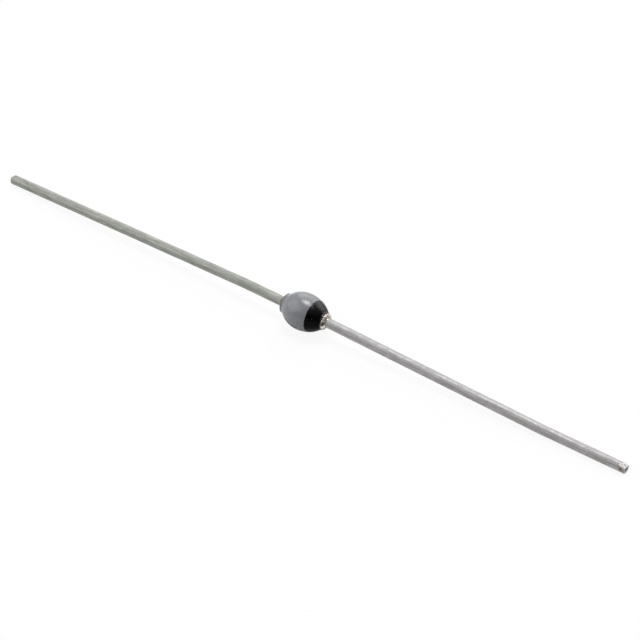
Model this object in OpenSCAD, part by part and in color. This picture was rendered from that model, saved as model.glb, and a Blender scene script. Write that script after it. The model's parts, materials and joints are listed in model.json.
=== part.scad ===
// Axial rectifier diode in a fused glass bead, with a tinned wire lead out of each end.
// It lies as it comes to rest, on three points: the belly of the bead and the tips of both
// leads, which droop a little and lean to one side. +Z is up, +X runs towards the cathode lead,
// and the origin is on the surface that it lies on, under the widest circle of the bead.
// Sizes are in millimetres and angles in degrees.

/* [Glass bead] */
// Diameter of the bead at its widest circle
bead_d = 3.1; // [2.6:0.05:3.6]
// Length of the bead from its widest circle to the anode rim
bead_anode_len = 1.85; // [1.5:0.05:2.2]
// Length of the bead from its widest circle to the cathode rim
bead_cathode_len = 2.12; // [1.8:0.02:2.4]
// Diameter of the rim where the glass ends on the anode stud
anode_rim_d = 1.64; // [1.5:0.02:1.9]
// Diameter of the rim where the glass ends on the cathode stud
cathode_rim_d = 1.46; // [1.42:0.02:1.7]
// Radius of the hollow neck before the anode rim
anode_neck_r = 0.35; // [0.15:0.05:0.5]
// Radius of the hollow neck before the cathode rim
cathode_neck_r = 0.2; // [0.1:0.05:0.4]
// Length of the straight lip at each rim
lip_len = 0.07; // [0.05:0.01:0.15]
// Radius that rounds the outer edge of each lip
lip_round = 0.04; // [0.01:0.01:0.04]

/* [Cathode band] */
// Distance from the bead's widest circle to the edge of the painted band
band_start = 1.0; // [0.6:0.05:1.5]
// Thickness of the paint
band_coat = 0.03; // [0.01:0.01:0.06]

/* [Die and studs] */
// Diameter of the two molybdenum studs
stud_d = 1.3; // [0.95:0.05:1.35]
// Length of each stud that stands out of the glass
stud_proud = 0.06; // [0.02:0.02:0.2]
// Radius that rounds the outer edge of each stud
stud_edge = 0.02; // [0.01:0.01:0.04]
// Diameter of the die's wide face, on the anode side
die_d = 1.5; // [1.2:0.05:1.8]
// Thickness of the die
die_t = 0.28; // [0.15:0.01:0.4]
// Angle of the die's ground rim, from the diode's axis
die_bevel_angle = 35; // [20:1:45]
// Thickness of the braze that holds the die to each stud
braze_t = 0.05; // [0.02:0.01:0.1]
// Step from the edge of a stud in to the edge of its braze
braze_step = 0.03; // [0.01:0.01:0.06]

/* [Weld collars] */
// Length of the weld metal that runs from a stud down to its lead
weld_len = 0.22; // [0.15:0.01:0.4]
// Height of the weld metal over the edge of the stud
weld_upset = 0.02; // [0.01:0.01:0.04]
// Height of the weld metal over the lead where it ends
weld_step = 0.02; // [0.02:0.01:0.06]

/* [Leads] */
// Diameter of the lead wire
lead_d = 0.81; // [0.5:0.01:0.82]
// Distance from the bead's widest circle to the tip of the anode lead
anode_reach = 31.2; // [28:0.1:40]
// Distance from the bead's widest circle to the tip of the cathode lead
cathode_reach = 30.4; // [28:0.1:40]
// Sideways lean of both tips, which steadies the diode where it lies
tip_lean = 0.61; // [0.2:0.01:1.2]
// Radius of each lead's one slight bend, to the middle of the wire
bend_r = 12; // [6:1:18]
// Distance from the bead's widest circle to the anode lead's bend
anode_bend_reach = 5.5; // [4:0.5:12]
// Height of that bend over the diode's axis
anode_bend_rise = 0.05; // [0:0.01:0.1]
// Distance from the bead's widest circle to the cathode lead's bend
cathode_bend_reach = 22.6; // [12:0.2:24]
// Depth of that bend under a straight line from the stud to the tip
cathode_bend_drop = 0.18; // [0.05:0.01:0.25]
// Radius of the rounded end of the anode lead
anode_tip_round = 0.25; // [0.05:0.05:0.3]
// Length of the bevel that the cutter left across the top of the anode lead's tip
anode_bevel_len = 0.5; // [0.3:0.02:1]
// Depth of that bevel at the tip
anode_bevel_depth = 0.2; // [0.1:0.02:0.3]
// Length of the same bevel on the cathode lead's tip
cathode_bevel_len = 0.62; // [0.3:0.02:1]
// Depth of that bevel at the tip
cathode_bevel_depth = 0.36; // [0.1:0.02:0.4]
// Angle by which both bevels are rolled about their leads, away from straight up
bevel_roll_angle = 12; // [-30:1:30]

/* [Hidden] */

$fn = 96;           // above the polygon limit, so every round face is a true one
arc_steps = 14;     // straight bands that stand for one arc of a turned outline
small_steps = 5;    // the same for an edge round
bend_slim = 0.004;  // how much the wire's radius draws down in a bend
bend_lap = 0.05;    // how far a bend's slimmer wire reaches into the straight run at each end

bead_r = bead_d/2;
stud_r = stud_d/2;
lead_r = lead_d/2;

// One side of the bead: [length to the rim, radius of the rim, radius of the neck]
ANODE_SIDE = [bead_anode_len, anode_rim_d/2, anode_neck_r];
CATHODE_SIDE = [bead_cathode_len, cathode_rim_d/2, cathode_neck_r];

// Where each stud ends, and the middle of the stack of studs, braze and die
anode_stud_end = -(bead_anode_len + stud_proud);
cathode_stud_end = bead_cathode_len + stud_proud;
die_x = (anode_stud_end + cathode_stud_end)/2;
die_half = die_t/2;
stack_half = die_half + braze_t;
braze_r = stud_r - braze_step;
die_wide_r = die_d/2;
die_narrow_r = die_wide_r - die_t*tan(die_bevel_angle);

// Each lead's route by its corners: where it leaves the stud, its bend, and its tip
cathode_start = [cathode_stud_end, 0, bead_r];
cathode_tip = [cathode_reach, tip_lean, lead_r];
cathode_bend_share =
    (cathode_bend_reach - cathode_stud_end)/(cathode_reach - cathode_stud_end);
CATHODE_ROUTE = [
    cathode_start,
    cathode_start + (cathode_tip - cathode_start)*cathode_bend_share - [0, 0, cathode_bend_drop],
    cathode_tip
];
ANODE_ROUTE = [
    [anode_stud_end, 0, bead_r],
    [-anode_bend_reach, 0, bead_r + anode_bend_rise],
    [-anode_reach, tip_lean, lead_r]
];

// ---- Outlines. Points are [radius, distance along the axis]. ----

// Distance from the widest circle to where the neck meets the lip
function neck_x(side) = side[0] - lip_len;

// Radius of the arc that leaves the widest circle square to it and touches the neck's arc
function belly_r(side) =
    let(drop = side[1] + side[2] - bead_r)
    (neck_x(side)^2 + drop^2 - side[2]^2)/(2*(bead_r - side[1]));

// Angle at which the belly's arc hands over to the neck's arc
function hand_over(side) =
    let(belly = belly_r(side))
    atan2(neck_x(side), side[1] + side[2] - bead_r + belly);

// The belly's arc between two angles, grown outwards by a coat
function belly_arc(side, from, to, coat = 0) =
    let(belly = belly_r(side))
    [for (i = [0:arc_steps])
        let(a = from + (to - from)*i/arc_steps)
        [bead_r - belly + (belly + coat)*cos(a), (belly + coat)*sin(a)]];

// The neck's arc, from the belly down to the lip, grown outwards by a coat
function neck_arc(side, coat = 0) =
    let(start = hand_over(side), r = side[2] - coat)
    [for (i = [1:arc_steps])
        let(a = start*(1 - i/arc_steps))
        [side[1] + side[2] - r*cos(a), neck_x(side) - r*sin(a)]];

// The rounded outer edge of the lip
function lip_arc(side) =
    [for (i = [0:small_steps])
        let(a = 90*i/small_steps)
        [side[1] - lip_round + lip_round*cos(a), side[0] - lip_round + lip_round*sin(a)]];

// One side of the bead from a given angle to the rim
function flank(side, from) =
    concat(belly_arc(side, from, hand_over(side)), neck_arc(side), lip_arc(side));

function mirrored(points) = [for (p = points) [p[0], -p[1]]];
function reversed(points) = [for (i = [len(points) - 1:-1:0]) points[i]];

// Angle on the cathode side where the band begins
band_angle = asin(band_start/belly_r(CATHODE_SIDE));

// Outside of the bead from the anode rim to the cathode rim
BEAD_OUTSIDE = concat(
    reversed(mirrored(flank(ANODE_SIDE, 0))),
    belly_arc(CATHODE_SIDE, 0, band_angle),
    flank(CATHODE_SIDE, band_angle)
);

// Outside of the stack that the glass is fused to, from the cathode rim to the anode rim
STACK_OUTSIDE = [
    [stud_r, bead_cathode_len],
    [stud_r, die_x + stack_half],
    [braze_r, die_x + stack_half],
    [braze_r, die_x + die_half],
    [die_narrow_r, die_x + die_half],
    [die_wide_r, die_x - die_half],
    [braze_r, die_x - die_half],
    [braze_r, die_x - stack_half],
    [stud_r, die_x - stack_half],
    [stud_r, -bead_anode_len]
];

// Weld metal, with the lead's place not yet cut out of it: a smooth fall from the stud's edge
weld_foot_r = lead_r + weld_step;
WELD_OUTLINE = concat(
    [[0, 0]],
    [for (i = [0:arc_steps])
        let(s = i/arc_steps)
        [weld_foot_r + (stud_r + weld_upset - weld_foot_r)*(1 + cos(180*s))/2, weld_len*s]],
    [[0, weld_len]]
);

// ---- Wire routes ----

function unit(v) = v/norm(v);

// Directions of the straight runs before and after a route's bend
function before(route) = unit(route[1] - route[0]);
function after(route) = unit(route[2] - route[1]);

// Angle by which the wire turns in its bend
function turn(route) =
    atan2(norm(cross(before(route), after(route))), before(route)*after(route));

// Length that the bend takes from each of the straight runs
function bend_takes(route) = bend_r*tan(turn(route)/2);

function first_run_len(route) = norm(route[1] - route[0]) - bend_takes(route);
function last_run_len(route) = norm(route[2] - route[1]) - bend_takes(route);

// ---- Building blocks ----

// The diode's axis lies level, at the height of the bead's radius
module on_axis(x = 0) {
    translate([x, 0, bead_r]) children();
}

// A piece turned about the X axis
module turned(points) {
    rotate([0, 90, 0]) rotate_extrude() polygon(points);
}

// A plain disc or rod along +X from the origin
module rod(r, length) {
    rotate([0, 90, 0]) cylinder(h = length, r = r);
}

// Sets children's axes along three directions, with their origin at a point
module framed(at, x_dir, y_dir) {
    z_dir = cross(x_dir, y_dir);
    multmatrix([
        [x_dir[0], y_dir[0], z_dir[0], at[0]],
        [x_dir[1], y_dir[1], z_dir[1], at[1]],
        [x_dir[2], y_dir[2], z_dir[2], at[2]],
        [0, 0, 0, 1]
    ]) children();
}

// Lays children, drawn along +X with +Z up, along a direction from a point
module laid(from, ahead) {
    framed(from, ahead, unit(cross([0, 0, 1], ahead))) children();
}

// The straight run that leaves a stud, begun some way back inside the stud
module first_run(route, back) {
    laid(route[0], before(route))
        translate([-back, 0, 0]) rod(lead_r, back + first_run_len(route));
}

// A wire's bend, a hair slimmer than the wire, with its ends lapped into both runs
module bend(route) {
    inward = unit(after(route) - before(route));
    inward_square = unit(inward - before(route)*(inward*before(route)));
    start = route[1] - before(route)*bend_takes(route);
    lap = bend_lap/bend_r*180/PI;
    framed(start + inward_square*bend_r, -inward_square, before(route))
        rotate([0, 0, -lap])
            rotate_extrude(angle = turn(route) + 2*lap)
                translate([bend_r, 0]) circle(r = lead_r - bend_slim);
}

// A wire along a route, cut flat where it meets its stud, with its last run left to the children
module wire(route) {
    away = sign(route[1][0]);
    difference() {
        first_run(route, lead_r);
        on_axis(route[0][0] - away*lead_d) cube(2*lead_d, center = true);
    }
    bend(route);
    laid(route[1] + after(route)*bend_takes(route), after(route)) children();
}

// Weld metal round the start of a wire
module weld(route) {
    difference() {
        on_axis(route[0][0]) rotate([0, 0, route[1][0] < 0 ? 180 : 0]) turned(WELD_OUTLINE);
        first_run(route, weld_len);
    }
}

// A last run with a rounded end
module round_ended_run(length) {
    turned(concat(
        [[0, 0], [lead_r, 0]],
        [for (i = [0:small_steps])
            let(a = 90*i/small_steps)
            [lead_r - anode_tip_round*(1 - cos(a)), length - anode_tip_round*(1 - sin(a))]],
        [[0, length]]
    ));
}

// Cuts the cutter's bevel across the top of a last run
module bevelled(length, bevel_len, bevel_depth) {
    difference() {
        children();
        rotate([bevel_roll_angle, 0, 0])
            translate([length - bevel_len, 0, lead_r])
                rotate([0, atan2(bevel_depth, bevel_len), 0])
                    translate([0, -lead_d, 0]) cube([2*bevel_len, 2*lead_d, lead_d]);
    }
}

// A stud from the braze to its free end, with the outer edge rounded. Both studs are alike.
module stud() {
    length = cathode_stud_end - die_x - stack_half;
    turned(concat(
        [[0, 0], [stud_r, 0]],
        [for (i = [0:small_steps])
            let(a = 90*i/small_steps)
            [stud_r - stud_edge*(1 - cos(a)), length - stud_edge*(1 - sin(a))]],
        [[0, length]]
    ));
}

// ---- Pieces ----

module glass_bead() {
    color("slategray") on_axis() turned(concat(BEAD_OUTSIDE, STACK_OUTSIDE));
}

module cathode_band() {
    last = hand_over(CATHODE_SIDE);
    inside = concat(belly_arc(CATHODE_SIDE, band_angle, last), neck_arc(CATHODE_SIDE));
    outside = concat(
        belly_arc(CATHODE_SIDE, band_angle, last, band_coat),
        neck_arc(CATHODE_SIDE, band_coat)
    );
    color([0.05, 0.05, 0.05]) on_axis() turned(concat(inside, reversed(outside)));
}

module silicon_die() {
    color("dimgray") on_axis(die_x)
        turned([
            [0, -die_half],
            [die_wide_r, -die_half],
            [die_narrow_r, die_half],
            [0, die_half]
        ]);
}

module anode_braze() {
    color("goldenrod") on_axis(die_x - stack_half) rod(braze_r, braze_t);
}

module cathode_braze() {
    color("goldenrod") on_axis(die_x + die_half) rod(braze_r, braze_t);
}

module anode_stud() {
    color("gray") on_axis(die_x - stack_half) mirror([1, 0, 0]) stud();
}

module cathode_stud() {
    color("gray") on_axis(die_x + stack_half) stud();
}

module anode_weld_collar() {
    color("silver") weld(ANODE_ROUTE);
}

module cathode_weld_collar() {
    color("silver") weld(CATHODE_ROUTE);
}

module anode_lead() {
    length = last_run_len(ANODE_ROUTE);
    color("lightgray") wire(ANODE_ROUTE)
        bevelled(length, anode_bevel_len, anode_bevel_depth) round_ended_run(length);
}

module cathode_lead() {
    length = last_run_len(CATHODE_ROUTE);
    color("lightgray") wire(CATHODE_ROUTE)
        bevelled(length, cathode_bevel_len, cathode_bevel_depth) rod(lead_r, length);
}

glass_bead();
cathode_band();
silicon_die();
anode_braze();
cathode_braze();
anode_stud();
cathode_stud();
anode_weld_collar();
cathode_weld_collar();
anode_lead();
cathode_lead();
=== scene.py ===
"""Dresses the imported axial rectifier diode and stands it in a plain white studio.

Lengths are millimetres in the classes' fields and metres in Blender. The diode lies along X with
its cathode lead towards +X, and its axis is level at the height of the bead's radius.
"""

from __future__ import annotations

import json
import logging
import math
from dataclasses import dataclass, field
from enum import Enum
from typing import Any, Sequence

import bpy
from mathutils import Matrix, Vector

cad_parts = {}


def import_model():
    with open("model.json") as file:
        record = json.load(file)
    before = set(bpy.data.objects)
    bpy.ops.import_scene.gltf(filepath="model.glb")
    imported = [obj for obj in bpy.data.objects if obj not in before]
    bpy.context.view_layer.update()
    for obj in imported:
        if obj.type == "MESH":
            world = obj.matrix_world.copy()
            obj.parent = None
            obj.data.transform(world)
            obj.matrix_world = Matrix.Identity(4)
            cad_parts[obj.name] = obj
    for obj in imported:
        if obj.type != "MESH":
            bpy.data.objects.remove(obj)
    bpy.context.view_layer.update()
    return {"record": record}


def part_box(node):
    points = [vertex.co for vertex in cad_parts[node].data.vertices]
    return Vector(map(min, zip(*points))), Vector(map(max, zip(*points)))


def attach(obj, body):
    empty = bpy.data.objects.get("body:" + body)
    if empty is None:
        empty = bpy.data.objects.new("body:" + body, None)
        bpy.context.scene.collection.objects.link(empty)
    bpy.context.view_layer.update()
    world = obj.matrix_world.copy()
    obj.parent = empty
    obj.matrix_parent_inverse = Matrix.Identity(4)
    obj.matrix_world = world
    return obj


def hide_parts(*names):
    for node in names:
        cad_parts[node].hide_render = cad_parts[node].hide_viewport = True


MM = 0.001
SAME_PLACE = 0.0002 * MM
BODY = "root"
LEAD_RADIUS = 0.405
LOG = logging.getLogger("diode")

Outline = list[tuple[float, float]]
Colour = tuple[float, float, float, float]
Socket = bpy.types.NodeSocket
Value = Any  # What an input takes: a socket, a number, a colour or a place.


class End(Enum):
    """An end of the diode, by the way its lead runs along X."""

    ANODE = -1
    CATHODE = 1


# ---------------------------------------------------------------------------------------------
# Modelling steps
# ---------------------------------------------------------------------------------------------


class Bench:
    """Steps that every piece shares, each of them an operator as used by hand."""

    @staticmethod
    def clear() -> None:
        """Returns to object mode with nothing selected."""
        active = bpy.context.view_layer.objects.active
        if active is not None and active.mode != "OBJECT":
            bpy.ops.object.mode_set(mode="OBJECT")
        bpy.ops.object.select_all(action="DESELECT")

    @staticmethod
    def ring(name: str, x: float, height: float, radius: float, sides: int) -> bpy.types.Object:
        """Adds an open ring that faces along X, and leaves it in edit mode, selected.

        Args:
            name: Name of the new piece.
            x: Place along the diode, in millimetres.
            height: Height of the ring's middle, in millimetres.
            radius: Radius in millimetres.
            sides: Number of sides.

        Returns:
            The new piece, with its place in its mesh.
        """
        Bench.clear()
        bpy.ops.mesh.primitive_circle_add(
            vertices=sides,
            radius=radius * MM,
            fill_type="NOTHING",
            location=(x * MM, 0.0, height * MM),
            rotation=(0.0, math.pi / 2, 0.0),
        )
        piece = bpy.context.object
        piece.name = piece.data.name = name
        bpy.ops.object.transform_apply(location=True, rotation=True, scale=True)
        bpy.ops.object.mode_set(mode="EDIT")
        bpy.ops.mesh.select_all(action="SELECT")
        return piece

    @staticmethod
    def draw_out(step: Sequence[float], scale: float, centre: Sequence[float]) -> None:
        """Extrudes the selected ring by a step and sizes the new one about its middle.

        Args:
            step: The way that the ring moves, in millimetres.
            scale: Radius of the new ring over that of the old one.
            centre: Middle of the new ring, in millimetres.
        """
        bpy.ops.mesh.extrude_region_move(
            TRANSFORM_OT_translate={"value": tuple(v * MM for v in step)}
        )
        if abs(scale - 1.0) > 1e-9:
            bpy.ops.transform.resize(
                value=(1.0, scale, scale), center_override=tuple(v * MM for v in centre)
            )

    @staticmethod
    def turned(name: str, outline: Outline, height: float, sides: int) -> bpy.types.Object:
        """Draws one ring out along an outline that comes back to its start.

        Args:
            name: Name of the new piece.
            outline: Points (x, radius) of a closed outline, in millimetres, the first not repeated.
            height: Height of the axis, in millimetres.
            sides: Number of sides.

        Returns:
            A closed ring of the outline's section.
        """
        x, radius = outline[0]
        piece = Bench.ring(name, x, height, radius, sides)
        for next_x, next_radius in [*outline[1:], outline[0]]:
            Bench.draw_out((next_x - x, 0.0, 0.0), next_radius / radius, (next_x, 0.0, height))
            x, radius = next_x, next_radius
        Bench.close()
        return piece

    @staticmethod
    def close() -> None:
        """Merges what meets, turns every face outwards and leaves edit mode."""
        bpy.ops.mesh.select_all(action="SELECT")
        bpy.ops.mesh.remove_doubles(threshold=SAME_PLACE)
        bpy.ops.mesh.normals_make_consistent(inside=False)
        bpy.ops.mesh.select_all(action="DESELECT")
        bpy.ops.object.mode_set(mode="OBJECT")

    @staticmethod
    def roughen(piece: bpy.types.Object, lump: float, depth: float, group: str = "") -> None:
        """Displaces a piece along its normals by soft lumps.

        Args:
            piece: The piece.
            lump: Size of a lump, in millimetres.
            depth: Full height from hollow to crest, in millimetres.
            group: Vertex group that the lumps keep to, or nothing for the whole piece.
        """
        texture = bpy.data.textures.new(f"{piece.name}_lumps", "CLOUDS")
        texture.noise_scale = lump * MM
        texture.noise_depth = 2
        lumps = piece.modifiers.new("Lumps", "DISPLACE")
        lumps.texture = texture
        lumps.texture_coords = "LOCAL"
        lumps.direction = "NORMAL"
        lumps.mid_level = 0.5
        lumps.strength = depth * MM
        lumps.vertex_group = group
        Bench.apply(piece, lumps)
        bpy.data.textures.remove(texture)

    @staticmethod
    def apply(piece: bpy.types.Object, modifier: bpy.types.Modifier) -> None:
        """Applies one modifier of a piece.

        Args:
            piece: The piece.
            modifier: The modifier.
        """
        Bench.clear()
        piece.select_set(True)
        bpy.context.view_layer.objects.active = piece
        bpy.ops.object.modifier_apply(modifier=modifier.name)

    @staticmethod
    def smooth(piece: bpy.types.Object, angle: float = 35.0) -> None:
        """Shades a piece smooth, apart from its sharp edges.

        Args:
            piece: The piece.
            angle: Angle in degrees past which an edge is sharp.
        """
        Bench.clear()
        piece.select_set(True)
        bpy.context.view_layer.objects.active = piece
        bpy.ops.object.shade_smooth_by_angle(angle=math.radians(angle))
        Bench.clear()


# ---------------------------------------------------------------------------------------------
# Shading
# ---------------------------------------------------------------------------------------------


class Tree:
    """A node tree, with one short call that adds a node and fills in its inputs."""

    def __init__(self, tree: bpy.types.NodeTree) -> None:
        """Keeps the tree, emptied."""
        self.tree = tree
        self.tree.nodes.clear()

    def add(self, kind: str, inputs: dict[Any, Value] | None = None, **settings: Any) -> bpy.types.Node:
        """Adds a node.

        Args:
            kind: The node's type.
            inputs: What goes into each input, by name or number: a socket, or a plain value.
            **settings: The node's own settings.

        Returns:
            The new node.
        """
        node = self.tree.nodes.new(kind)
        for name, value in settings.items():
            setattr(node, name, value)
        for name, value in (inputs or {}).items():
            if isinstance(value, Socket):
                self.tree.links.new(value, node.inputs[name])
            else:
                node.inputs[name].default_value = value
        return node

    def group(self, group: bpy.types.NodeTree, inputs: dict[str, Value]) -> Socket:
        """Places a shared group, fills in its inputs and returns its first output."""
        return self.add("ShaderNodeGroup", inputs, node_tree=group).outputs[0]

    def maths(self, operation: str, *values: Value) -> Socket:
        """Adds one step of arithmetic on two or three values and returns its result."""
        inputs = dict(enumerate(values))
        return self.add("ShaderNodeMath", inputs, operation=operation).outputs[0]

    def ramp(
        self, value: Value, low: Value, high: Value, to_low: float = 0.0, to_high: float = 1.0
    ) -> Socket:
        """Carries a value smoothly from one range to another.

        Args:
            value: The value.
            low: Where the first range begins, which may be its higher end.
            high: Where the first range ends.
            to_low: Where the second range begins.
            to_high: Where the second range ends.

        Returns:
            The value in the second range.
        """
        labels = "Value", "From Min", "From Max", "To Min", "To Max"
        inputs = dict(zip(labels, (value, low, high, to_low, to_high)))
        return self.add("ShaderNodeMapRange", inputs, interpolation_type="SMOOTHSTEP").outputs[0]

    def blend(self, factor: Value, a: Value, b: Value) -> Socket:
        """Mixes two colours, from all of the first at 0 to all of the second at 1."""
        return self.add("ShaderNodeMix", {0: factor, 6: a, 7: b}, data_type="RGBA").outputs[2]


class Effects:
    """The node groups that the finishes share. Each is built when it is first asked for."""

    @staticmethod
    def start(
        name: str, inputs: dict[str, tuple[str, Any]], outputs: dict[str, str]
    ) -> tuple[Tree, bpy.types.Node, bpy.types.Node]:
        """Makes an empty node group with its sockets.

        Args:
            name: The group's name.
            inputs: Each input's socket type and its first value.
            outputs: Each output's socket type.

        Returns:
            The group's tree, its input node and its output node.
        """
        group = bpy.data.node_groups.new(name, "ShaderNodeTree")
        for label, (kind, value) in inputs.items():
            socket = group.interface.new_socket(name=label, in_out="INPUT", socket_type=kind)
            if value is not None:
                socket.default_value = value
        for label, kind in outputs.items():
            group.interface.new_socket(name=label, in_out="OUTPUT", socket_type=kind)
        tree = Tree(group)
        return tree, tree.add("NodeGroupInput"), tree.add("NodeGroupOutput")

    @staticmethod
    def mottle() -> bpy.types.NodeTree:
        """Soft patches of one size, which may be drawn out along the diode.

        Returns:
            The group, whose mask runs from 0 to 1.
        """
        name = "Mottle"
        if name in bpy.data.node_groups:
            return bpy.data.node_groups[name]
        number = "NodeSocketFloat"
        tree, given, result = Effects.start(
            name,
            {
                "Place": ("NodeSocketVector", None),
                "Size": (number, 0.3),
                "Stretch": (number, 1.0),
                "Low": (number, 0.4),
                "High": (number, 0.6),
                "Detail": (number, 3.0),
            },
            {"Mask": number},
        )
        across = tree.maths("DIVIDE", 1.0 / MM, given.outputs["Size"])
        along = tree.maths("DIVIDE", across, given.outputs["Stretch"])
        scale = tree.add("ShaderNodeCombineXYZ", {0: along, 1: across, 2: across})
        place = tree.add(
            "ShaderNodeVectorMath",
            {0: given.outputs["Place"], 1: scale.outputs[0]},
            operation="MULTIPLY",
        )
        noise = tree.add(
            "ShaderNodeTexNoise",
            {
                "Vector": place.outputs[0],
                "Scale": 1.0,
                "Detail": given.outputs["Detail"],
                "Roughness": 0.55,
            },
        )
        mask = tree.ramp(noise.outputs[0], given.outputs["Low"], given.outputs["High"])
        tree.tree.links.new(mask, result.inputs["Mask"])
        return tree.tree

    @staticmethod
    def specks() -> bpy.types.NodeTree:
        """Small separate spots, of which only some show.

        Returns:
            The group, whose mask is 1 in a spot.
        """
        name = "Specks"
        if name in bpy.data.node_groups:
            return bpy.data.node_groups[name]
        number = "NodeSocketFloat"
        tree, given, result = Effects.start(
            name,
            {
                "Place": ("NodeSocketVector", None),
                "Spacing": (number, 0.3),
                "Radius": (number, 0.15),
                "Share": (number, 0.4),
            },
            {"Mask": number},
        )
        scale = tree.maths("DIVIDE", 1.0 / MM, given.outputs["Spacing"])
        cells = tree.add("ShaderNodeTexVoronoi", {"Vector": given.outputs["Place"], "Scale": scale})
        inner = tree.maths("MULTIPLY", given.outputs["Radius"], 0.5)
        spot = tree.ramp(cells.outputs["Distance"], given.outputs["Radius"], inner)
        pick = tree.add("ShaderNodeSeparateColor", {0: cells.outputs["Color"]})
        shown = tree.maths("LESS_THAN", pick.outputs[0], given.outputs["Share"])
        mask = tree.maths("MULTIPLY", spot, shown)
        tree.tree.links.new(mask, result.inputs["Mask"])
        return tree.tree


def tone(red: float, green: float, blue: float) -> Colour:
    """A colour in linear light."""
    return (red, green, blue, 1.0)


@dataclass(frozen=True)
class Blot:
    """One mark at one place of a piece.

    Attributes:
        centre: Its middle, in millimetres.
        radius: Where it has faded out, in millimetres.
        colour: Its colour.
        grain: Size of the gaps that break it up, in millimetres.
    """

    centre: tuple[float, float, float]
    radius: float
    colour: Colour
    grain: float = 0.1


@dataclass(frozen=True)
class Finish:
    """What every finish has: a name, its material slot in the record, and a way to be made.

    Attributes:
        name: The material's name.
        slot: The record's material slot; not used.
        blots: Single marks on the piece.
    """

    name: str
    slot: str
    blots: tuple[Blot, ...] = field(default=(), kw_only=True)

    def make(self) -> bpy.types.Material:
        """Builds the material, unless it is there already.

        Returns:
            The material.
        """
        if self.name in bpy.data.materials:
            return bpy.data.materials[self.name]
        material = bpy.data.materials.new(self.name)
        material.use_nodes = True
        tree = Tree(material.node_tree)
        place = tree.add("ShaderNodeTexCoord").outputs["Object"]
        shader = self.shade(tree, place)
        tree.add("ShaderNodeOutputMaterial", {"Surface": shader.outputs[0]})
        return material

    def shade(self, tree: Tree, place: Socket) -> bpy.types.Node:
        """Builds the nodes and returns the shader. Each finish has its own."""
        raise NotImplementedError

    def dress(self, piece: bpy.types.Object) -> None:
        """Puts the finish on a piece, in place of any other.

        Args:
            piece: The piece.
        """
        piece.data.materials.clear()
        piece.data.materials.append(self.make())

    @staticmethod
    def upwards(tree: Tree) -> Socket:
        """How far the surface faces up, from -1 to 1."""
        normal = tree.add("ShaderNodeNewGeometry").outputs["Normal"]
        return tree.add("ShaderNodeSeparateXYZ", {0: normal}).outputs[2]

    @staticmethod
    def patches(
        tree: Tree, place: Value, size: float, low: float, high: float, stretch: float = 1.0
    ) -> Socket:
        """Places the shared mottle and returns its mask."""
        inputs = {"Place": place, "Size": size, "Stretch": stretch, "Low": low, "High": high}
        return tree.group(Effects.mottle(), inputs)

    @staticmethod
    def spots(tree: Tree, place: Value, spacing: float, radius: float, share: float) -> Socket:
        """Places the shared specks and returns their mask."""
        inputs = {"Place": place, "Spacing": spacing, "Radius": radius, "Share": share}
        return tree.group(Effects.specks(), inputs)

    @staticmethod
    def relief(tree: Tree, height: Value, depth: float) -> Socket:
        """Turns a height from 0 to 1 into a normal, for a full depth in millimetres."""
        inputs = {"Height": height, "Strength": 1.0, "Distance": depth * MM}
        return tree.add("ShaderNodeBump", inputs).outputs["Normal"]

    def marked(self, tree: Tree, place: Value, colour: Value) -> Value:
        """Lays the single marks over a colour.

        Args:
            tree: The material's tree.
            place: The place on the piece.
            colour: The colour without the marks.

        Returns:
            The colour with the marks.
        """
        for blot in self.blots:
            away = tree.add(
                "ShaderNodeVectorMath",
                {0: place, 1: tuple(v * MM for v in blot.centre)},
                operation="DISTANCE",
            ).outputs["Value"]
            near = tree.ramp(away, blot.radius * MM, blot.radius * 0.4 * MM)
            broken = self.patches(tree, place, blot.grain, 0.25, 0.5)
            colour = tree.blend(tree.maths("MULTIPLY", near, broken), colour, blot.colour)
        return colour


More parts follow.
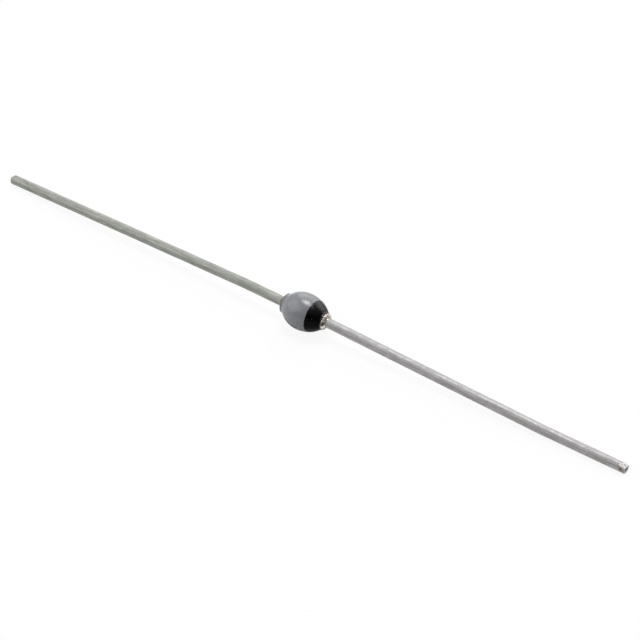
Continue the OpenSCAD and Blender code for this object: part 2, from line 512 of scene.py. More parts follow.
@dataclass(frozen=True)
class GreyGlass(Finish):
    """Opaque grey sintered glass, as glossy as enamel, with black paint feathered over one edge.

    Attributes:
        paint_edge: Where the paint begins along the diode, in millimetres.
        rim: Where the glass ends on the anode side, in millimetres.
    """

    paint_edge: float
    rim: float

    def shade(self, tree: Tree, place: Socket) -> bpy.types.Node:
        """Builds clouded grey glass with painted shade towards its anode rim and less gloss on its
        underside, which paints shade there.

        Args:
            tree: The material's tree.
            place: The place on the piece.

        Returns:
            The shader.
        """
        clouds = self.patches(tree, place, 0.9, 0.3, 0.7)
        grey = tree.blend(clouds, tone(0.24, 0.244, 0.26), tone(0.256, 0.26, 0.276))
        specks = self.spots(tree, place, 0.42, 0.2, 0.16)
        grey = tree.blend(tree.maths("MULTIPLY", specks, 0.45), grey, tone(0.07, 0.07, 0.065))
        along = tree.add("ShaderNodeSeparateXYZ", {0: place}).outputs[0]
        wander = self.patches(tree, place, 0.14, 0.3, 0.7)
        rim_edge = tree.maths("MULTIPLY_ADD", wander, 0.07 * MM, self.rim * MM)
        rim = tree.maths("SUBTRACT", along, rim_edge)
        # Painted shade: the glass darkens over the last half millimetre before its anode rim, and more
        # on the lip, where the neck lies in shade.
        rim_shade = tree.maths("MULTIPLY", tree.ramp(rim, 0.5 * MM, 0.05 * MM), 0.3)
        fired = tree.maths("MULTIPLY", tree.ramp(rim, 0.1 * MM, 0.0), 0.5)
        grey = tree.blend(tree.maths("ADD", rim_shade, fired), grey, tone(0.09, 0.092, 0.085))
        drips = self.patches(tree, place, 0.3, 0.25, 0.75)
        edge = tree.maths("MULTIPLY_ADD", drips, -0.07 * MM, (self.paint_edge + 0.012) * MM)
        painted = tree.ramp(tree.maths("SUBTRACT", along, edge), -0.008 * MM, 0.008 * MM)
        grey = self.marked(tree, place, grey)
        colour = tree.blend(painted, grey, tone(0.003, 0.003, 0.003))
        ripples = self.patches(tree, place, 0.28, 0.3, 0.7)
        height = tree.maths("MULTIPLY_ADD", clouds, 0.6, ripples)
        return tree.add(
            "ShaderNodeBsdfPrincipled",
            {
                "Base Color": colour,
                "Roughness": tree.ramp(clouds, 0.0, 1.0, 0.2, 0.27),
                "IOR": 1.52,
                # Painted shade: the glass reflects less the more it faces down, so its underside shows
                # less of the floor.
                "Specular IOR Level": tree.ramp(self.upwards(tree), -0.6, 0.3, 0.03, 0.5),
                "Normal": self.relief(tree, height, 0.006),
            },
        )


@dataclass(frozen=True)
class BlackPaint(Finish):
    """Glossy black fired paint with a slightly pebbled skin."""

    def shade(self, tree: Tree, place: Socket) -> bpy.types.Node:
        """Builds near-black paint, brown where it is thin, with its gloss turned down on its underside
        as painted shade.

        Args:
            tree: The material's tree.
            place: The place on the piece.

        Returns:
            The shader.
        """
        thin = self.patches(tree, place, 0.22, 0.5, 0.78)
        colour = tree.blend(thin, tone(0.001, 0.001, 0.001), tone(0.008, 0.006, 0.005))
        flecks = self.spots(tree, place, 0.3, 0.16, 0.1)
        colour = tree.blend(tree.maths("MULTIPLY", flecks, 0.5), colour, tone(0.16, 0.15, 0.14))
        pebbles = self.patches(tree, place, 0.16, 0.3, 0.7)
        return tree.add(
            "ShaderNodeBsdfPrincipled",
            {
                "Base Color": colour,
                "Roughness": tree.ramp(pebbles, 0.0, 1.0, 0.2, 0.34),
                # Painted shade: the paint reflects less the more it faces down, so its underside shows
                # less of the floor.
                "Specular IOR Level": tree.ramp(self.upwards(tree), 0.45, 0.82, 0.05, 0.42),
                "Normal": self.relief(tree, pebbles, 0.006),
            },
        )


@dataclass(frozen=True)
class TinnedWire(Finish):
    """Dull hot-tinned copper wire, streaked along its length and spotted underneath.

    Attributes:
        light: The bright streaks' colour.
        dull: The colour between them.
        stain: The colour of the spots underneath.
        stained: How much of the underside is spotted, from 0 to 1.
        roughness: How dull it is.
    """

    light: Colour
    dull: Colour
    stain: Colour = tone(0.16, 0.165, 0.14)
    stained: float = 0.5
    roughness: float = 0.42

    def shade(self, tree: Tree, place: Socket) -> bpy.types.Node:
        """Builds dull metal with lengthwise streaks, cloudy oxide and dark spots underneath.

        Args:
            tree: The material's tree.
            place: The place on the piece.

        Returns:
            The shader.
        """
        streaks = self.patches(tree, place, 0.16, 0.3, 0.72, stretch=14.0)
        clouds = self.patches(tree, place, 0.32, 0.36, 0.66, stretch=2.0)
        metal = tree.blend(streaks, self.dull, self.light)
        metal = tree.blend(tree.maths("MULTIPLY", clouds, 0.28), metal, self.dull)
        below = tree.ramp(self.upwards(tree), 0.35, -0.45)
        spots = self.patches(tree, place, 0.24, 0.5, 0.66, stretch=2.5)
        stain = tree.maths("MULTIPLY", tree.maths("MULTIPLY", spots, below), self.stained)
        metal = tree.blend(stain, metal, self.stain)
        metal = self.marked(tree, place, metal)
        height = tree.maths("MULTIPLY_ADD", streaks, 0.5, clouds)
        return tree.add(
            "ShaderNodeBsdfPrincipled",
            {
                "Base Color": metal,
                "Metallic": 0.4,
                "Roughness": tree.ramp(clouds, 0.0, 1.0, self.roughness, self.roughness + 0.13),
                "IOR": 1.5,
                "Normal": self.relief(tree, height, 0.003),
            },
        )


@dataclass(frozen=True)
class CutMetal(Finish):
    """Bare metal where a cutter went through: bright where it slid, dark where it tore.

    Attributes:
        bright: The colour of the smeared metal.
        drag: The colour of its drag marks.
        roughness: How dull it is.
    """

    bright: Colour = tone(0.95, 0.93, 0.92)
    drag: Colour = tone(0.74, 0.7, 0.68)
    roughness: float = 0.25

    def shade(self, tree: Tree, place: Socket) -> bpy.types.Node:
        """Builds smeared metal with fine drag marks and torn spots.

        Args:
            tree: The material's tree.
            place: The place on the piece.

        Returns:
            The shader.
        """
        drag = self.patches(tree, place, 0.12, 0.35, 0.65)
        metal = self.marked(tree, place, tree.blend(drag, self.bright, self.drag))
        return tree.add(
            "ShaderNodeBsdfPrincipled",
            {
                "Base Color": metal,
                "Metallic": 0.8,
                "Roughness": tree.ramp(drag, 0.0, 1.0, self.roughness, self.roughness + 0.15),
                "Normal": self.relief(tree, drag, 0.004),
            },
        )


@dataclass(frozen=True)
class WeldMetal(Finish):
    """Rough tinned weld metal, bright on its lumps and dark in its pits.

    Attributes:
        bright: The colour of its lumps.
        hollow: The colour between them.
    """

    bright: Colour = tone(0.8, 0.74, 0.7)
    hollow: Colour = tone(0.3, 0.28, 0.22)

    def shade(self, tree: Tree, place: Socket) -> bpy.types.Node:
        """Builds bright lumps with a rosy cast, olive hollows and small dark pits.

        Args:
            tree: The material's tree.
            place: The place on the piece.

        Returns:
            The shader.
        """
        lumps = self.patches(tree, place, 0.3, 0.36, 0.62)
        metal = tree.blend(lumps, self.hollow, self.bright)
        rosy = self.patches(tree, place, 0.5, 0.45, 0.7)
        metal = tree.blend(tree.maths("MULTIPLY", rosy, 0.4), metal, tone(0.5, 0.37, 0.33))
        pits = self.spots(tree, place, 0.34, 0.3, 0.4)
        metal = tree.blend(pits, metal, tone(0.05, 0.05, 0.03))
        metal = self.marked(tree, place, metal)
        height = tree.maths("SUBTRACT", lumps, tree.maths("MULTIPLY", pits, 0.8))
        return tree.add(
            "ShaderNodeBsdfPrincipled",
            {
                "Base Color": metal,
                "Metallic": 0.9,
                "Roughness": tree.ramp(lumps, 0.0, 1.0, 0.42, 0.26),
                "Normal": self.relief(tree, height, 0.03),
            },
        )


@dataclass(frozen=True)
class PlainMetal(Finish):
    """A metal that the glass hides: two tones in fine patches.

    Attributes:
        base: Its main colour.
        patch: The colour of its patches.
        grain: Size of a patch, in millimetres.
        roughness: How dull it is.
    """

    base: Colour
    patch: Colour
    grain: float = 0.1
    roughness: float = 0.35

    def shade(self, tree: Tree, place: Socket) -> bpy.types.Node:
        """Builds the metal with its grain in colour, dullness and relief.

        Args:
            tree: The material's tree.
            place: The place on the piece.

        Returns:
            The shader.
        """
        grain = self.patches(tree, place, self.grain, 0.35, 0.65)
        return tree.add(
            "ShaderNodeBsdfPrincipled",
            {
                "Base Color": tree.blend(grain, self.base, self.patch),
                "Metallic": 1.0,
                "Roughness": tree.ramp(grain, 0.0, 1.0, self.roughness, self.roughness + 0.12),
                "Normal": self.relief(tree, grain, 0.004),
            },
        )


# ---------------------------------------------------------------------------------------------
# The diode's sub-assemblies
# ---------------------------------------------------------------------------------------------


@dataclass(frozen=True)
class Flank:
    """One side of the bead's outline, from its widest circle to its rim, in millimetres.

    Attributes:
        length: Distance from the widest circle to the rim.
        rim: Radius of the rim.
        neck: Radius of the hollow before the rim.
        bead: Radius of the widest circle.
        lip: Length of the straight lip.
        lip_round: Radius of the lip's outer edge.
    """

    length: float
    rim: float
    neck: float
    bead: float
    lip: float = 0.07
    lip_round: float = 0.04

    @property
    def neck_end(self) -> float:
        """Where the neck meets the lip."""
        return self.length - self.lip

    @property
    def belly(self) -> float:
        """Radius of the arc from the widest circle to the neck."""
        drop = self.rim + self.neck - self.bead
        return (self.neck_end**2 + drop**2 - self.neck**2) / (2 * (self.bead - self.rim))

    @property
    def hand_over(self) -> float:
        """Angle at which the belly's arc gives way to the neck's, in radians."""
        return math.atan2(self.neck_end, self.rim + self.neck - self.bead + self.belly)

    def belly_line(self, start: float, stop: float, steps: int, coat: float = 0.0) -> Outline:
        """Draws the belly's arc, or part of it.

        Args:
            start: Angle from the widest circle at which it starts, in radians.
            stop: Angle at which it stops, in radians.
            steps: Number of steps.
            coat: Height over the glass.

        Returns:
            Its points.
        """
        reach = self.belly + coat
        angles = [start + (stop - start) * i / steps for i in range(steps + 1)]
        return [(reach * math.sin(a), self.bead - self.belly + reach * math.cos(a)) for a in angles]

    def neck_line(self, steps: int, coat: float = 0.0) -> Outline:
        """Draws the neck's hollow arc, from the first point after the belly.

        Args:
            steps: Number of steps.
            coat: Height over the glass.

        Returns:
            Its points.
        """
        reach = self.neck - coat
        angles = [self.hand_over * (1 - i / steps) for i in range(1, steps + 1)]
        return [
            (self.neck_end - reach * math.sin(a), self.rim + self.neck - reach * math.cos(a))
            for a in angles
        ]

    def lip_line(self, steps: int) -> Outline:
        """Points of the lip's rounded outer edge."""
        angles = [math.pi / 2 * i / steps for i in range(steps + 1)]
        return [
            (
                self.length - self.lip_round * (1 - math.sin(a)),
                self.rim - self.lip_round * (1 - math.cos(a)),
            )
            for a in angles
        ]

    def line(self) -> Outline:
        """The whole side, from the widest circle to the rim."""
        return [*self.belly_line(0.0, self.hand_over, 22), *self.neck_line(9), *self.lip_line(5)]


def corners(node: str) -> tuple[Vector, Vector]:
    """A CAD node's lowest and highest corners, in millimetres."""
    low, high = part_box(node)
    return low / MM, high / MM


@dataclass
class Bead:
    """The glass bead fused round the stack, and the black band on its cathode end.

    Attributes:
        anode_rim: Radius of the rim on the anode stud, in millimetres.
        cathode_rim: Radius of the rim on the cathode stud.
        anode_neck: Radius of the hollow neck on the anode side.
        cathode_neck: Radius of the hollow neck on the cathode side.
        band_start: Distance from the widest circle to the painted band.
        paint: Thickness of the paint.
        lap: How far the ring of paint reaches into the glass.
        wave: Length of the glass's soft unevenness.
        wave_height: Its full height.
        sides: Number of sides of each turned piece.
    """

    anode_rim: float = 0.84
    cathode_rim: float = 0.73
    anode_neck: float = 0.35
    cathode_neck: float = 0.2
    band_start: float = 1.0
    paint: float = 0.014
    lap: float = 0.01
    wave: float = 1.6
    wave_height: float = 0.02
    sides: int = 128

    def __post_init__(self) -> None:
        """Takes the bead's size and place from the CAD."""
        low, high = corners("glass_bead")
        self.height = (low.z + high.z) / 2
        radius = (high.z - low.z) / 2
        self.anode = Flank(-low.x, self.anode_rim, self.anode_neck, radius)
        self.cathode = Flank(high.x, self.cathode_rim, self.cathode_neck, radius)

    def stack_line(self) -> Outline:
        """Follows the stack inside the glass, from the cathode rim to the anode rim.

        Returns:
            The outline's points.
        """
        die_low, die_high = corners("silicon_die")
        die = (die_high.z - die_low.z) / 2
        braze_low, braze_high = corners("anode_braze")
        braze = (braze_high.z - braze_low.z) / 2
        stud_low, stud_high = corners("anode_stud")
        stud = (stud_high.z - stud_low.z) / 2
        far_braze = corners("cathode_braze")[1].x
        return [
            (self.cathode.length, stud),
            (far_braze, stud),
            (far_braze, braze),
            (die_high.x, braze),
            (die_low.x, die),
            (braze_low.x, braze),
            (braze_low.x, stud),
            (-self.anode.length, stud),
        ]

    def make_glass(self) -> bpy.types.Object:
        """Draws the glass out of one ring, round its outside and back along the stack.

        Returns:
            The glass.
        """
        outside = [(-x, r) for x, r in reversed(self.anode.line())][:-1] + self.cathode.line()
        glass = Bench.turned("bead_glass", outside + self.stack_line(), self.height, self.sides)
        Bench.roughen(glass, self.wave, self.wave_height, self.outer_group(glass))
        Bench.smooth(glass)
        return glass

    def outer_group(self, glass: bpy.types.Object) -> str:
        """Groups the glass that lies clear of the stack, the rims and the band.

        Args:
            glass: The glass.

        Returns:
            The group's name.
        """
        group = glass.vertex_groups.new(name="belly")
        inner_reach, fade, stop_x = 0.85, 0.4, self.band_start - 0.1
        for vertex in glass.data.vertices:
            x, y, z = vertex.co / MM
            clear = min(1.0, max(0.0, math.hypot(y, z - self.height) - inner_reach) / fade)
            if clear > 0.0 and x < stop_x:
                group.add([vertex.index], clear * min(1.0, (stop_x - x) / fade), "REPLACE")
        return group.name

    def make_band(self) -> bpy.types.Object:
        """Draws the paint as a thin closed ring, rounded at its open edge.

        Returns:
            The band.
        """
        side = self.cathode
        first = math.asin(self.band_start / side.belly)
        last = side.hand_over
        step = self.paint / side.belly
        edge = [
            side.belly_line(first + step * shift, last, 1, self.paint * rise)[0]
            for shift, rise in ((0.0, -0.6), (0.1, 0.3), (0.5, 0.75))
        ]
        outside = side.belly_line(first + step * 1.2, last, 14, self.paint)
        outside += side.neck_line(9, self.paint)
        inside = side.belly_line(first, last, 6, -self.lap)[1:] + side.neck_line(3, -self.lap)[:-1]
        inside.append((side.neck_end, side.rim - self.lap))
        outline = edge + outside + inside[::-1]
        band = Bench.turned("cathode_paint", outline, self.height, self.sides)
        Bench.smooth(band)
        return band

    def build(self) -> list[bpy.types.Object]:
        """Makes and dresses the glass and the band.

        Returns:
            Both pieces.
        """
        glass, band = self.make_glass(), self.make_band()
        # Blots in a thin dark line along the bead's lower front, on its anode half.
        places = (-0.85, -1.28, 1.04), (-0.6, -1.34, 0.91), (-0.35, -1.33, 0.8), (-0.1, -1.31, 0.72)
        dark_line = tuple(Blot(place, 0.48, tone(0.015, 0.015, 0.013), 0.4) for place in places)
        edges = self.band_start, -self.anode.length
        GreyGlass("grey_sintered_glass", "grey_glass", *edges, blots=dark_line).dress(glass)
        BlackPaint("black_fired_paint", "black_ink").dress(band)
        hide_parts("glass_bead")
        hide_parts("cathode_band")
        return [glass, band]


@dataclass
class WeldCollar:
    """The weld metal that joins a stud and its lead.

    Attributes:
        end: The end of the diode that it is at.
        finish: What it is dressed in.
        sides: Number of sides.
        steps: Number of rings from the stud to the lead.
        lump_size: Size of a lump, in millimetres.
        lump_height: Height of a lump, in millimetres.
        foot: How far its end stands over the lead, in millimetres.
        lap: How far it reaches into the lead, in millimetres.
        overlap: Length of the stud's edge that the metal has run over, in millimetres.
        flow: Thickness of the metal there, in millimetres.
    """

    end: End
    finish: Finish
    sides: int = 96
    steps: int = 14
    lump_size: float = 0.16
    lump_height: float = 0.05
    foot: float = 0.02
    lap: float = 0.03
    overlap: float = 0.06
    flow: float = 0.015

    def build(self) -> bpy.types.Object:
        """Turns the collar, roughens it and dresses it.

        Returns:
            The collar.
        """
        name = self.end.name.lower()
        low, high = corners(f"{name}_weld_collar")
        height, radius = (low.z + high.z) / 2, (high.z - low.z) / 2
        crest, foot, inner = radius + self.flow, LEAD_RADIUS + self.foot, LEAD_RADIUS - self.lap
        start, stop = (low.x, high.x) if self.end is End.CATHODE else (high.x, low.x)
        rim = start - self.end.value * self.overlap
        shares = [i / self.steps for i in range(self.steps + 1)]
        outside = [(rim, radius), (rim, crest)] + [
            (start + (stop - start) * s, foot + (crest - foot) * (1 + math.cos(math.pi * s)) / 2)
            for s in shares
        ]
        inside = [(stop, inner), (start, inner), (start, radius)]
        collar = Bench.turned(f"{name}_weld", outside + inside, height, self.sides)
        Bench.roughen(collar, self.lump_size, self.lump_height)
        Bench.smooth(collar, 60.0)
        self.finish.dress(collar)
        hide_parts(f"{name}_weld_collar")
        return collar


@dataclass
class Lead:
    """A tinned wire lead, from its stud down to its tip.

    Attributes:
        end: The end of the diode that it is at.
        mount: The record's pin mount at its tip: place and axis of its last straight run.
        bend_reach: Distance from the bead's widest circle to its one bend, in millimetres.
        bevel_length: Length of the cutter's bevel across the top of its tip, in millimetres.
        bevel_depth: Depth of the bevel at the tip, in millimetres.
        finish: What it is dressed in.
        cut_finishes: What the bevel and the end are dressed in, if not like the rest.
        tip_round: Radius of the rounded end, in millimetres.
        bevel_roll: Angle by which the bevel faces away from straight up, in degrees.
        bend_radius: Radius of the bend, in millimetres.
        soft_edge: Width of the softened edges at its tip, in millimetres.
        wave: Length of its soft unevenness, in millimetres.
        wave_height: Full height of its unevenness, in millimetres.
        ring_gap: Distance between its rings, in millimetres.
        sides: Number of sides.
    """

    end: End
    mount: dict[str, Any]
    bend_reach: float
    bevel_length: float
    bevel_depth: float
    finish: Finish
    cut_finishes: tuple[Finish, ...] = ()
    tip_round: float = 0.0
    bevel_roll: float = 5.0
    bend_radius: float = 12.0
    soft_edge: float = 0.03
    wave: float = 0.9
    wave_height: float = 0.018
    ring_gap: float = 0.2
    sides: int = 72

    def __post_init__(self) -> None:
        """Takes the lead's size and place from the CAD and the mount."""
        self.name = self.end.name.lower()
        low, high = corners(f"{self.name}_lead")
        self.start_x, self.tip_x = (low.x, high.x) if self.end is End.CATHODE else (high.x, low.x)
        collar_low, collar_high = corners(f"{self.name}_weld_collar")
        self.height = (collar_low.z + collar_high.z) / 2
        self.radius = self.mount["dims"]["r_mm"]
        self.place, self.axis = Vector(self.mount["pos_m"]) / MM, Vector(self.mount["axis"])

    def on_last_run(self, x: float) -> Vector:
        """The middle of the last run at a place along the diode."""
        return self.place + self.axis * ((x - self.place.x) / self.axis.x)

    def route(self) -> list[Vector]:
        """Follows the middle of the wire from the stud to where its end is rounded.

        Returns:
            The middle of each ring.
        """
        steps = 6
        stud = Vector((self.start_x, 0.0, self.height))
        bend = self.on_last_run(self.end.value * self.bend_reach)
        tip = self.on_last_run(self.tip_x) - self.axis * self.tip_round
        back, ahead = (stud - bend).normalized(), (tip - bend).normalized()
        take = self.bend_radius * math.tan((math.pi - back.angle(ahead)) / 2)
        first, last = bend + back * take, bend + ahead * take
        shares = [i / steps for i in range(steps + 1)]
        curve = [first.lerp(bend, s).lerp(bend.lerp(last, s), s) for s in shares]
        points = [stud]
        for before, after in zip([stud, *curve], [*curve, tip]):
            parts = max(1, round((after - before).length / self.ring_gap))
            points += [before.lerp(after, i / parts) for i in range(1, parts + 1)]
        return points

    def draw_wire(self) -> bpy.types.Object:
        """Draws a ring out along the route, rounds the end and closes both ends.

        Returns:
            The wire, in edit mode.
        """
        points = self.route()
        wire = Bench.ring(f"{self.name}_wire", points[0].x, self.height, self.radius, self.sides)
        for before, after in zip(points, points[1:]):
            Bench.draw_out(after - before, 1.0, after)
        if self.tip_round:
            self.round_end(points[-1])
        bpy.ops.mesh.select_all(action="SELECT")
        bpy.ops.mesh.fill_holes(sides=0)
        return wire

    def round_end(self, last: Vector) -> None:
        """Draws the wire's last ring on over a rounded edge.

        Args:
            last: The middle of the last ring.
        """
        reach, radius, steps = 0.0, self.radius, 8
        for i in range(1, steps + 1):
            turn = math.pi / 2 * i / steps
            next_reach = self.tip_round * math.sin(turn)
            next_radius = self.radius - self.tip_round * (1 - math.cos(turn))
            middle = last + self.axis * next_reach
            Bench.draw_out(self.axis * (next_reach - reach), next_radius / radius, middle)
            reach, radius = next_reach, next_radius

    def up(self) -> Vector:
        """The way across the wire in which the bevel's deepest line faces."""
        roll = math.radians(self.bevel_roll)
        return Vector((0.0, -self.end.value * math.sin(roll), math.cos(roll)))

    def bevel_face(self) -> Vector:
        """The way in which the bevel faces."""
        slope = math.atan2(self.bevel_depth, self.bevel_length)
        return self.axis * math.sin(slope) + self.up() * math.cos(slope)

    def cut_bevel(self) -> None:
        """Cuts the cutter's bevel across the tip and closes the cut."""
        tip, on_cut, merged = self.on_last_run(self.tip_x), 0.001 * MM, 0.004 * MM
        heel = tip - self.axis * self.bevel_length + self.up() * self.radius
        bpy.ops.mesh.select_all(action="SELECT")
        bpy.ops.mesh.bisect(
            plane_co=heel * MM,
            plane_no=self.bevel_face(),
            use_fill=True,
            clear_outer=True,
            threshold=on_cut,
        )
        bpy.ops.mesh.select_all(action="SELECT")
        # Sorted first, so that the merge gives the same result each run.
        bpy.ops.mesh.sort_elements(type="CURSOR_DISTANCE", elements={"VERT"})
        bpy.ops.mesh.remove_doubles(threshold=merged)

    def soften_tip(self, wire: bpy.types.Object) -> None:
        """Takes the sharpness off the edges of the tip.

        Args:
            wire: The wire, in edit mode.
        """
        sharp_angle, margin = 20.0, 0.1
        bpy.ops.mesh.select_all(action="DESELECT")
        bpy.ops.mesh.select_mode(type="EDGE")
        bpy.ops.mesh.edges_select_sharp(sharpness=math.radians(sharp_angle))
        bpy.ops.object.mode_set(mode="OBJECT")
        mesh, sign = wire.data, self.end.value
        behind = sign * self.tip_x * MM - (self.bevel_length + margin) * MM
        for edge in mesh.edges:
            if min(sign * mesh.vertices[v].co.x for v in edge.vertices) < behind:
                edge.select = False
        bpy.ops.object.mode_set(mode="EDIT")
        bpy.ops.mesh.bevel(offset=self.soft_edge * MM, segments=1, affect="EDGES")

    def dress_cut(self, wire: bpy.types.Object) -> None:
        """Gives the flat faces of the bevel and of the end their own finishes.

        Args:
            wire: The wire, dressed.
        """
        if not self.cut_finishes:
            return
        for finish in self.cut_finishes:
            wire.data.materials.append(finish.make())
        start = self.end.value * self.tip_x - self.bevel_length * 1.1
        least_area, facing = 0.05 * MM**2, 0.97
        for face in wire.data.polygons:
            if self.end.value * face.center.x > start * MM and face.area > least_area:
                for number, way in enumerate((self.bevel_face(), self.axis), start=1):
                    if face.normal.dot(way) > facing:
                        face.material_index = number

    def build(self) -> bpy.types.Object:
        """Draws, cuts, roughens and dresses the lead.

        Returns:
            The wire.
        """
        wire = self.draw_wire()
        self.cut_bevel()
        self.soften_tip(wire)
        Bench.close()
        Bench.roughen(wire, self.wave, self.wave_height)
        Bench.smooth(wire, 12.0)
        self.finish.dress(wire)
        self.dress_cut(wire)
        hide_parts(f"{self.name}_lead")
        return wire


# ---------------------------------------------------------------------------------------------
# The studio
# ---------------------------------------------------------------------------------------------


@dataclass(frozen=True)
class Lamp:
    """A soft lamp that hangs over the diode.

    Attributes:
        name: Its name.
        place: Where it hangs, in metres.
        size: Width and height of its face, in metres.
        glow: Brightness of its face, where 1 is white.
    """

    name: str
    place: tuple[float, float, float]
    size: tuple[float, float]
    glow: float

    def hang(self) -> None:
        """Adds the lamp, turned towards the diode and out of the camera's sight."""
        data = bpy.data.lights.new(self.name, "AREA")
        data.shape = "RECTANGLE"
        data.size, data.size_y = self.size
        data.energy = self.glow * math.pi * data.size * data.size_y
        lamp = bpy.data.objects.new(self.name, data)
        lamp.location = self.place
        lamp.rotation_euler = (-Vector(self.place)).to_track_quat("-Z", "Y").to_euler()
        lamp.visible_camera = False
        bpy.context.scene.collection.objects.link(lamp)


@dataclass(frozen=True)
class Camera:
    """The camera, aimed at a point beside the bead.

    Attributes:
        azimuth: Its turn about the vertical, in degrees.
        elevation: Its height over the horizon, in degrees.
        distance: Its distance from the aim, in millimetres.
        aim: The point that it is aimed at, in millimetres.
        lens: Its focal length on a 36 mm frame.
    """

    azimuth: float = 37.084
    elevation: float = 38.677
    distance: float = 304.7
    aim: tuple[float, float, float] = (1.2681, 0.4297, 1.023)
    lens: float = 214.93

    def place(self) -> None:
        """Adds the camera and makes it the scene's own."""
        data = bpy.data.cameras.new("camera")
        data.lens = self.lens
        data.sensor_width = 36.0
        data.clip_start, data.clip_end = 0.01, 10.0
        camera = bpy.data.objects.new("camera", data)
        turn, rise = math.radians(self.azimuth), math.radians(self.elevation)
        right = Vector((math.cos(turn), math.sin(turn), 0.0))
        level = Vector((math.sin(turn), -math.cos(turn), 0.0))
        back = level * math.cos(rise) + Vector((0.0, 0.0, math.sin(rise)))
        above = back.cross(right)
        matrix = Matrix((right, above, back)).transposed().to_4x4()
        matrix.translation = (Vector(self.aim) + back * self.distance) * MM
        camera.matrix_world = matrix
        bpy.context.scene.collection.objects.link(camera)
        bpy.context.scene.camera = camera


@dataclass
class Studio:
    """A white floor, soft lamps, an even white surround and the camera.

    Attributes:
        floor_size: Width of the floor, in metres.
        surround: Brightness of the light from all round, where 1 is white.
        shadow: How much of the object's shadow the floor shows, from 0 to 1.
    """

    floor_size: float = 3.0
    surround: float = 0.12
    shadow: float = 0.09

    def floor_finish(self) -> bpy.types.Material:
        """Builds a pale floor that stays white in view and still takes a soft shadow.

        Returns:
            The floor's material.
        """
        material = bpy.data.materials.new("white_floor")
        material.use_nodes = True
        tree = Tree(material.node_tree)
        place = tree.add("ShaderNodeTexCoord").outputs["Object"]
        grain = tree.add("ShaderNodeTexNoise", {"Vector": place, "Scale": 900.0}).outputs[0]
        white = tree.add("ShaderNodeEmission", {"Color": tone(1.0, 1.0, 1.0), "Strength": 1.0})
        ray = tree.add("ShaderNodeLightPath")
        seen = tree.maths("MAXIMUM", ray.outputs["Is Camera Ray"], ray.outputs["Is Glossy Ray"])
        seen = tree.maths("MAXIMUM", seen, ray.outputs["Is Transmission Ray"])
        pale = tree.blend(grain, tone(0.9, 0.9, 0.9), tone(0.93, 0.93, 0.93))
        lit = tree.blend(seen, tone(0.65, 0.65, 0.65), pale)
        matt = tree.add("ShaderNodeBsdfDiffuse", {"Color": lit})
        share = tree.maths("MULTIPLY", seen, 1.0 - self.shadow)
        mixed = tree.add("ShaderNodeMixShader", {0: share, 1: matt.outputs[0], 2: white.outputs[0]})
        tree.add("ShaderNodeOutputMaterial", {"Surface": mixed.outputs[0]})
        return material

    def lay_floor(self) -> None:
        """Adds the floor at the height that the diode lies on."""
        Bench.clear()
        bpy.ops.mesh.primitive_plane_add(size=self.floor_size, location=(0.0, 0.0, 0.0))
        floor = bpy.context.object
        floor.name = floor.data.name = "studio_floor"
        floor.data.materials.append(self.floor_finish())

    def light_surround(self) -> None:
        """Lights the scene evenly from all round."""
        world = bpy.data.worlds.new("surround")
        bpy.context.scene.world = world
        world.use_nodes = True
        tree = Tree(world.node_tree)
        white = {"Color": tone(1.0, 1.0, 1.0), "Strength": self.surround}
        soft = tree.add("ShaderNodeBackground", white)
        tree.add("ShaderNodeOutputWorld", {"Surface": soft.outputs[0]})

    def build(self) -> None:
        """Sets up the whole studio."""
        bpy.context.scene.view_settings.view_transform = "Standard"
        self.lay_floor()
        self.light_surround()
        for lamp in (
            Lamp("window", (-0.06, 0.41, 0.27), (0.8, 0.42), 1.9),
            Lamp("left_softbox", (-0.34, -0.24, 0.27), (0.55, 0.5), 1.5),
            Lamp("top_lamp", (-0.05, 0.07, 0.39), (0.16, 0.14), 12.0),
        ):
            lamp.hang()
        Camera().place()


def dress_hidden_pieces() -> None:
    """Gives the pieces inside the glass, which keep their CAD shapes, their own finishes."""
    grey, dark_grey = tone(0.36, 0.36, 0.37), tone(0.26, 0.26, 0.27)
    gold, brown = tone(0.62, 0.5, 0.3), tone(0.5, 0.36, 0.2)
    slate, dark_slate = tone(0.19, 0.2, 0.23), tone(0.15, 0.16, 0.2)
    molybdenum = PlainMetal("turned_molybdenum", "molybdenum", grey, dark_grey)
    braze = PlainMetal("silver_copper_braze", "braze", gold, brown, 0.14)
    silicon = PlainMetal("lapped_silicon", "silicon", slate, dark_slate, 0.05, 0.18)
    for node, finish in (
        ("anode_stud", molybdenum),
        ("cathode_stud", molybdenum),
        ("anode_braze", braze),
        ("cathode_braze", braze),
        ("silicon_die", silicon),
    ):
        finish.dress(bpy.data.objects[node])
        LOG.info("%s keeps its shape", node)


def wire_finishes() -> tuple[TinnedWire, TinnedWire]:
    """Makes the finishes of the two wires.

    Returns:
        The anode wire's and the cathode wire's, which is brighter and scuffed beside its cut.
    """
    scuff = Blot((30.12, 0.25, 0.5), 0.24, tone(0.22, 0.165, 0.13), 0.2)
    anode_tones = tone(0.4, 0.41, 0.375), tone(0.27, 0.28, 0.25)
    cathode_tones = tone(0.5, 0.488, 0.485), tone(0.34, 0.33, 0.33)
    return (
        TinnedWire("tinned_wire_anode", "tinned_wire", *anode_tones),
        TinnedWire("tinned_wire_cathode", "tinned_wire", *cathode_tones, blots=(scuff,)),
    )


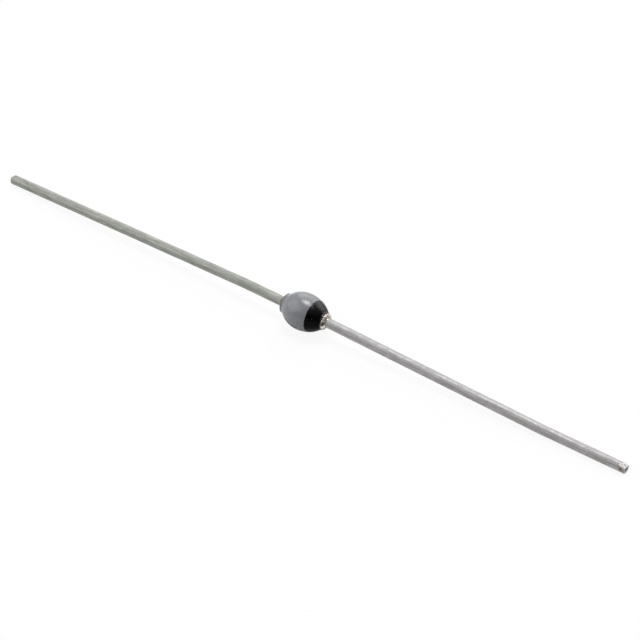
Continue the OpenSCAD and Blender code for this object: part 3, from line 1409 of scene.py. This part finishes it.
def cut_finishes() -> tuple[CutMetal, CutMetal]:
    """Makes the finishes of the cathode wire's cut.

    Returns:
        The bevel's, which the cutter smeared, and the end's, which broke off.
    """
    burr = Blot((30.2, 0.24, 0.48), 0.3, tone(0.22, 0.165, 0.13))
    torn = Blot((30.4, 0.6, 0.4), 0.24, tone(0.03, 0.03, 0.028))
    end_tones = tone(0.52, 0.51, 0.49), tone(0.36, 0.35, 0.34)
    return (
        CutMetal("sheared_bevel", "tinned_wire", blots=(burr,)),
        CutMetal("snapped_end", "tinned_wire", *end_tones, 0.4, blots=(torn,)),
    )


def weld_finishes() -> tuple[WeldMetal, WeldMetal]:
    """Makes the finishes of the two weld collars.

    Returns:
        The anode collar's, which is dull, and the cathode collar's, with a pit inside a broad blot of
        painted shade.
    """
    # Painted shade: a broad olive blot darkens the front of the cathode collar; the small black pit
    # inside it is the weld's own.
    hollow = Blot((2.32, -0.58, 1.74), 0.3, tone(0.12, 0.115, 0.07), 0.3)
    pit = Blot((2.28, -0.56, 1.66), 0.17, tone(0.03, 0.03, 0.02))
    anode_tones = tone(0.3, 0.3, 0.26), tone(0.16, 0.16, 0.13)
    return (
        WeldMetal("anode_weld_metal", "weld_metal", *anode_tones),
        WeldMetal("cathode_weld_metal", "weld_metal", blots=(hollow, pit)),
    )


def main() -> None:
    """Builds and dresses every piece, logs its faces and sets up the studio."""
    logging.basicConfig(level=logging.INFO, format="%(name)s: %(message)s")
    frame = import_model()
    mounts = {mount["name"]: mount for mount in frame["record"]["mounts"]}
    dress_hidden_pieces()

    anode_mount, cathode_mount = mounts["anode_lead_tip"], mounts["cathode_lead_tip"]
    anode_wire, cathode_wire = wire_finishes()
    dull_weld, bright_weld = weld_finishes()
    pieces = [
        *Bead().build(),
        WeldCollar(End.ANODE, dull_weld).build(),
        WeldCollar(End.CATHODE, bright_weld).build(),
        Lead(End.ANODE, anode_mount, 5.5, 0.5, 0.2, anode_wire, tip_round=0.25).build(),
        Lead(End.CATHODE, cathode_mount, 22.6, 0.62, 0.36, cathode_wire, cut_finishes()).build(),
    ]
    for piece in pieces:
        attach(piece, BODY)
        LOG.info("%s: %d faces", piece.name, len(piece.data.polygons))

    Studio().build()


if __name__ == "__main__":
    main()
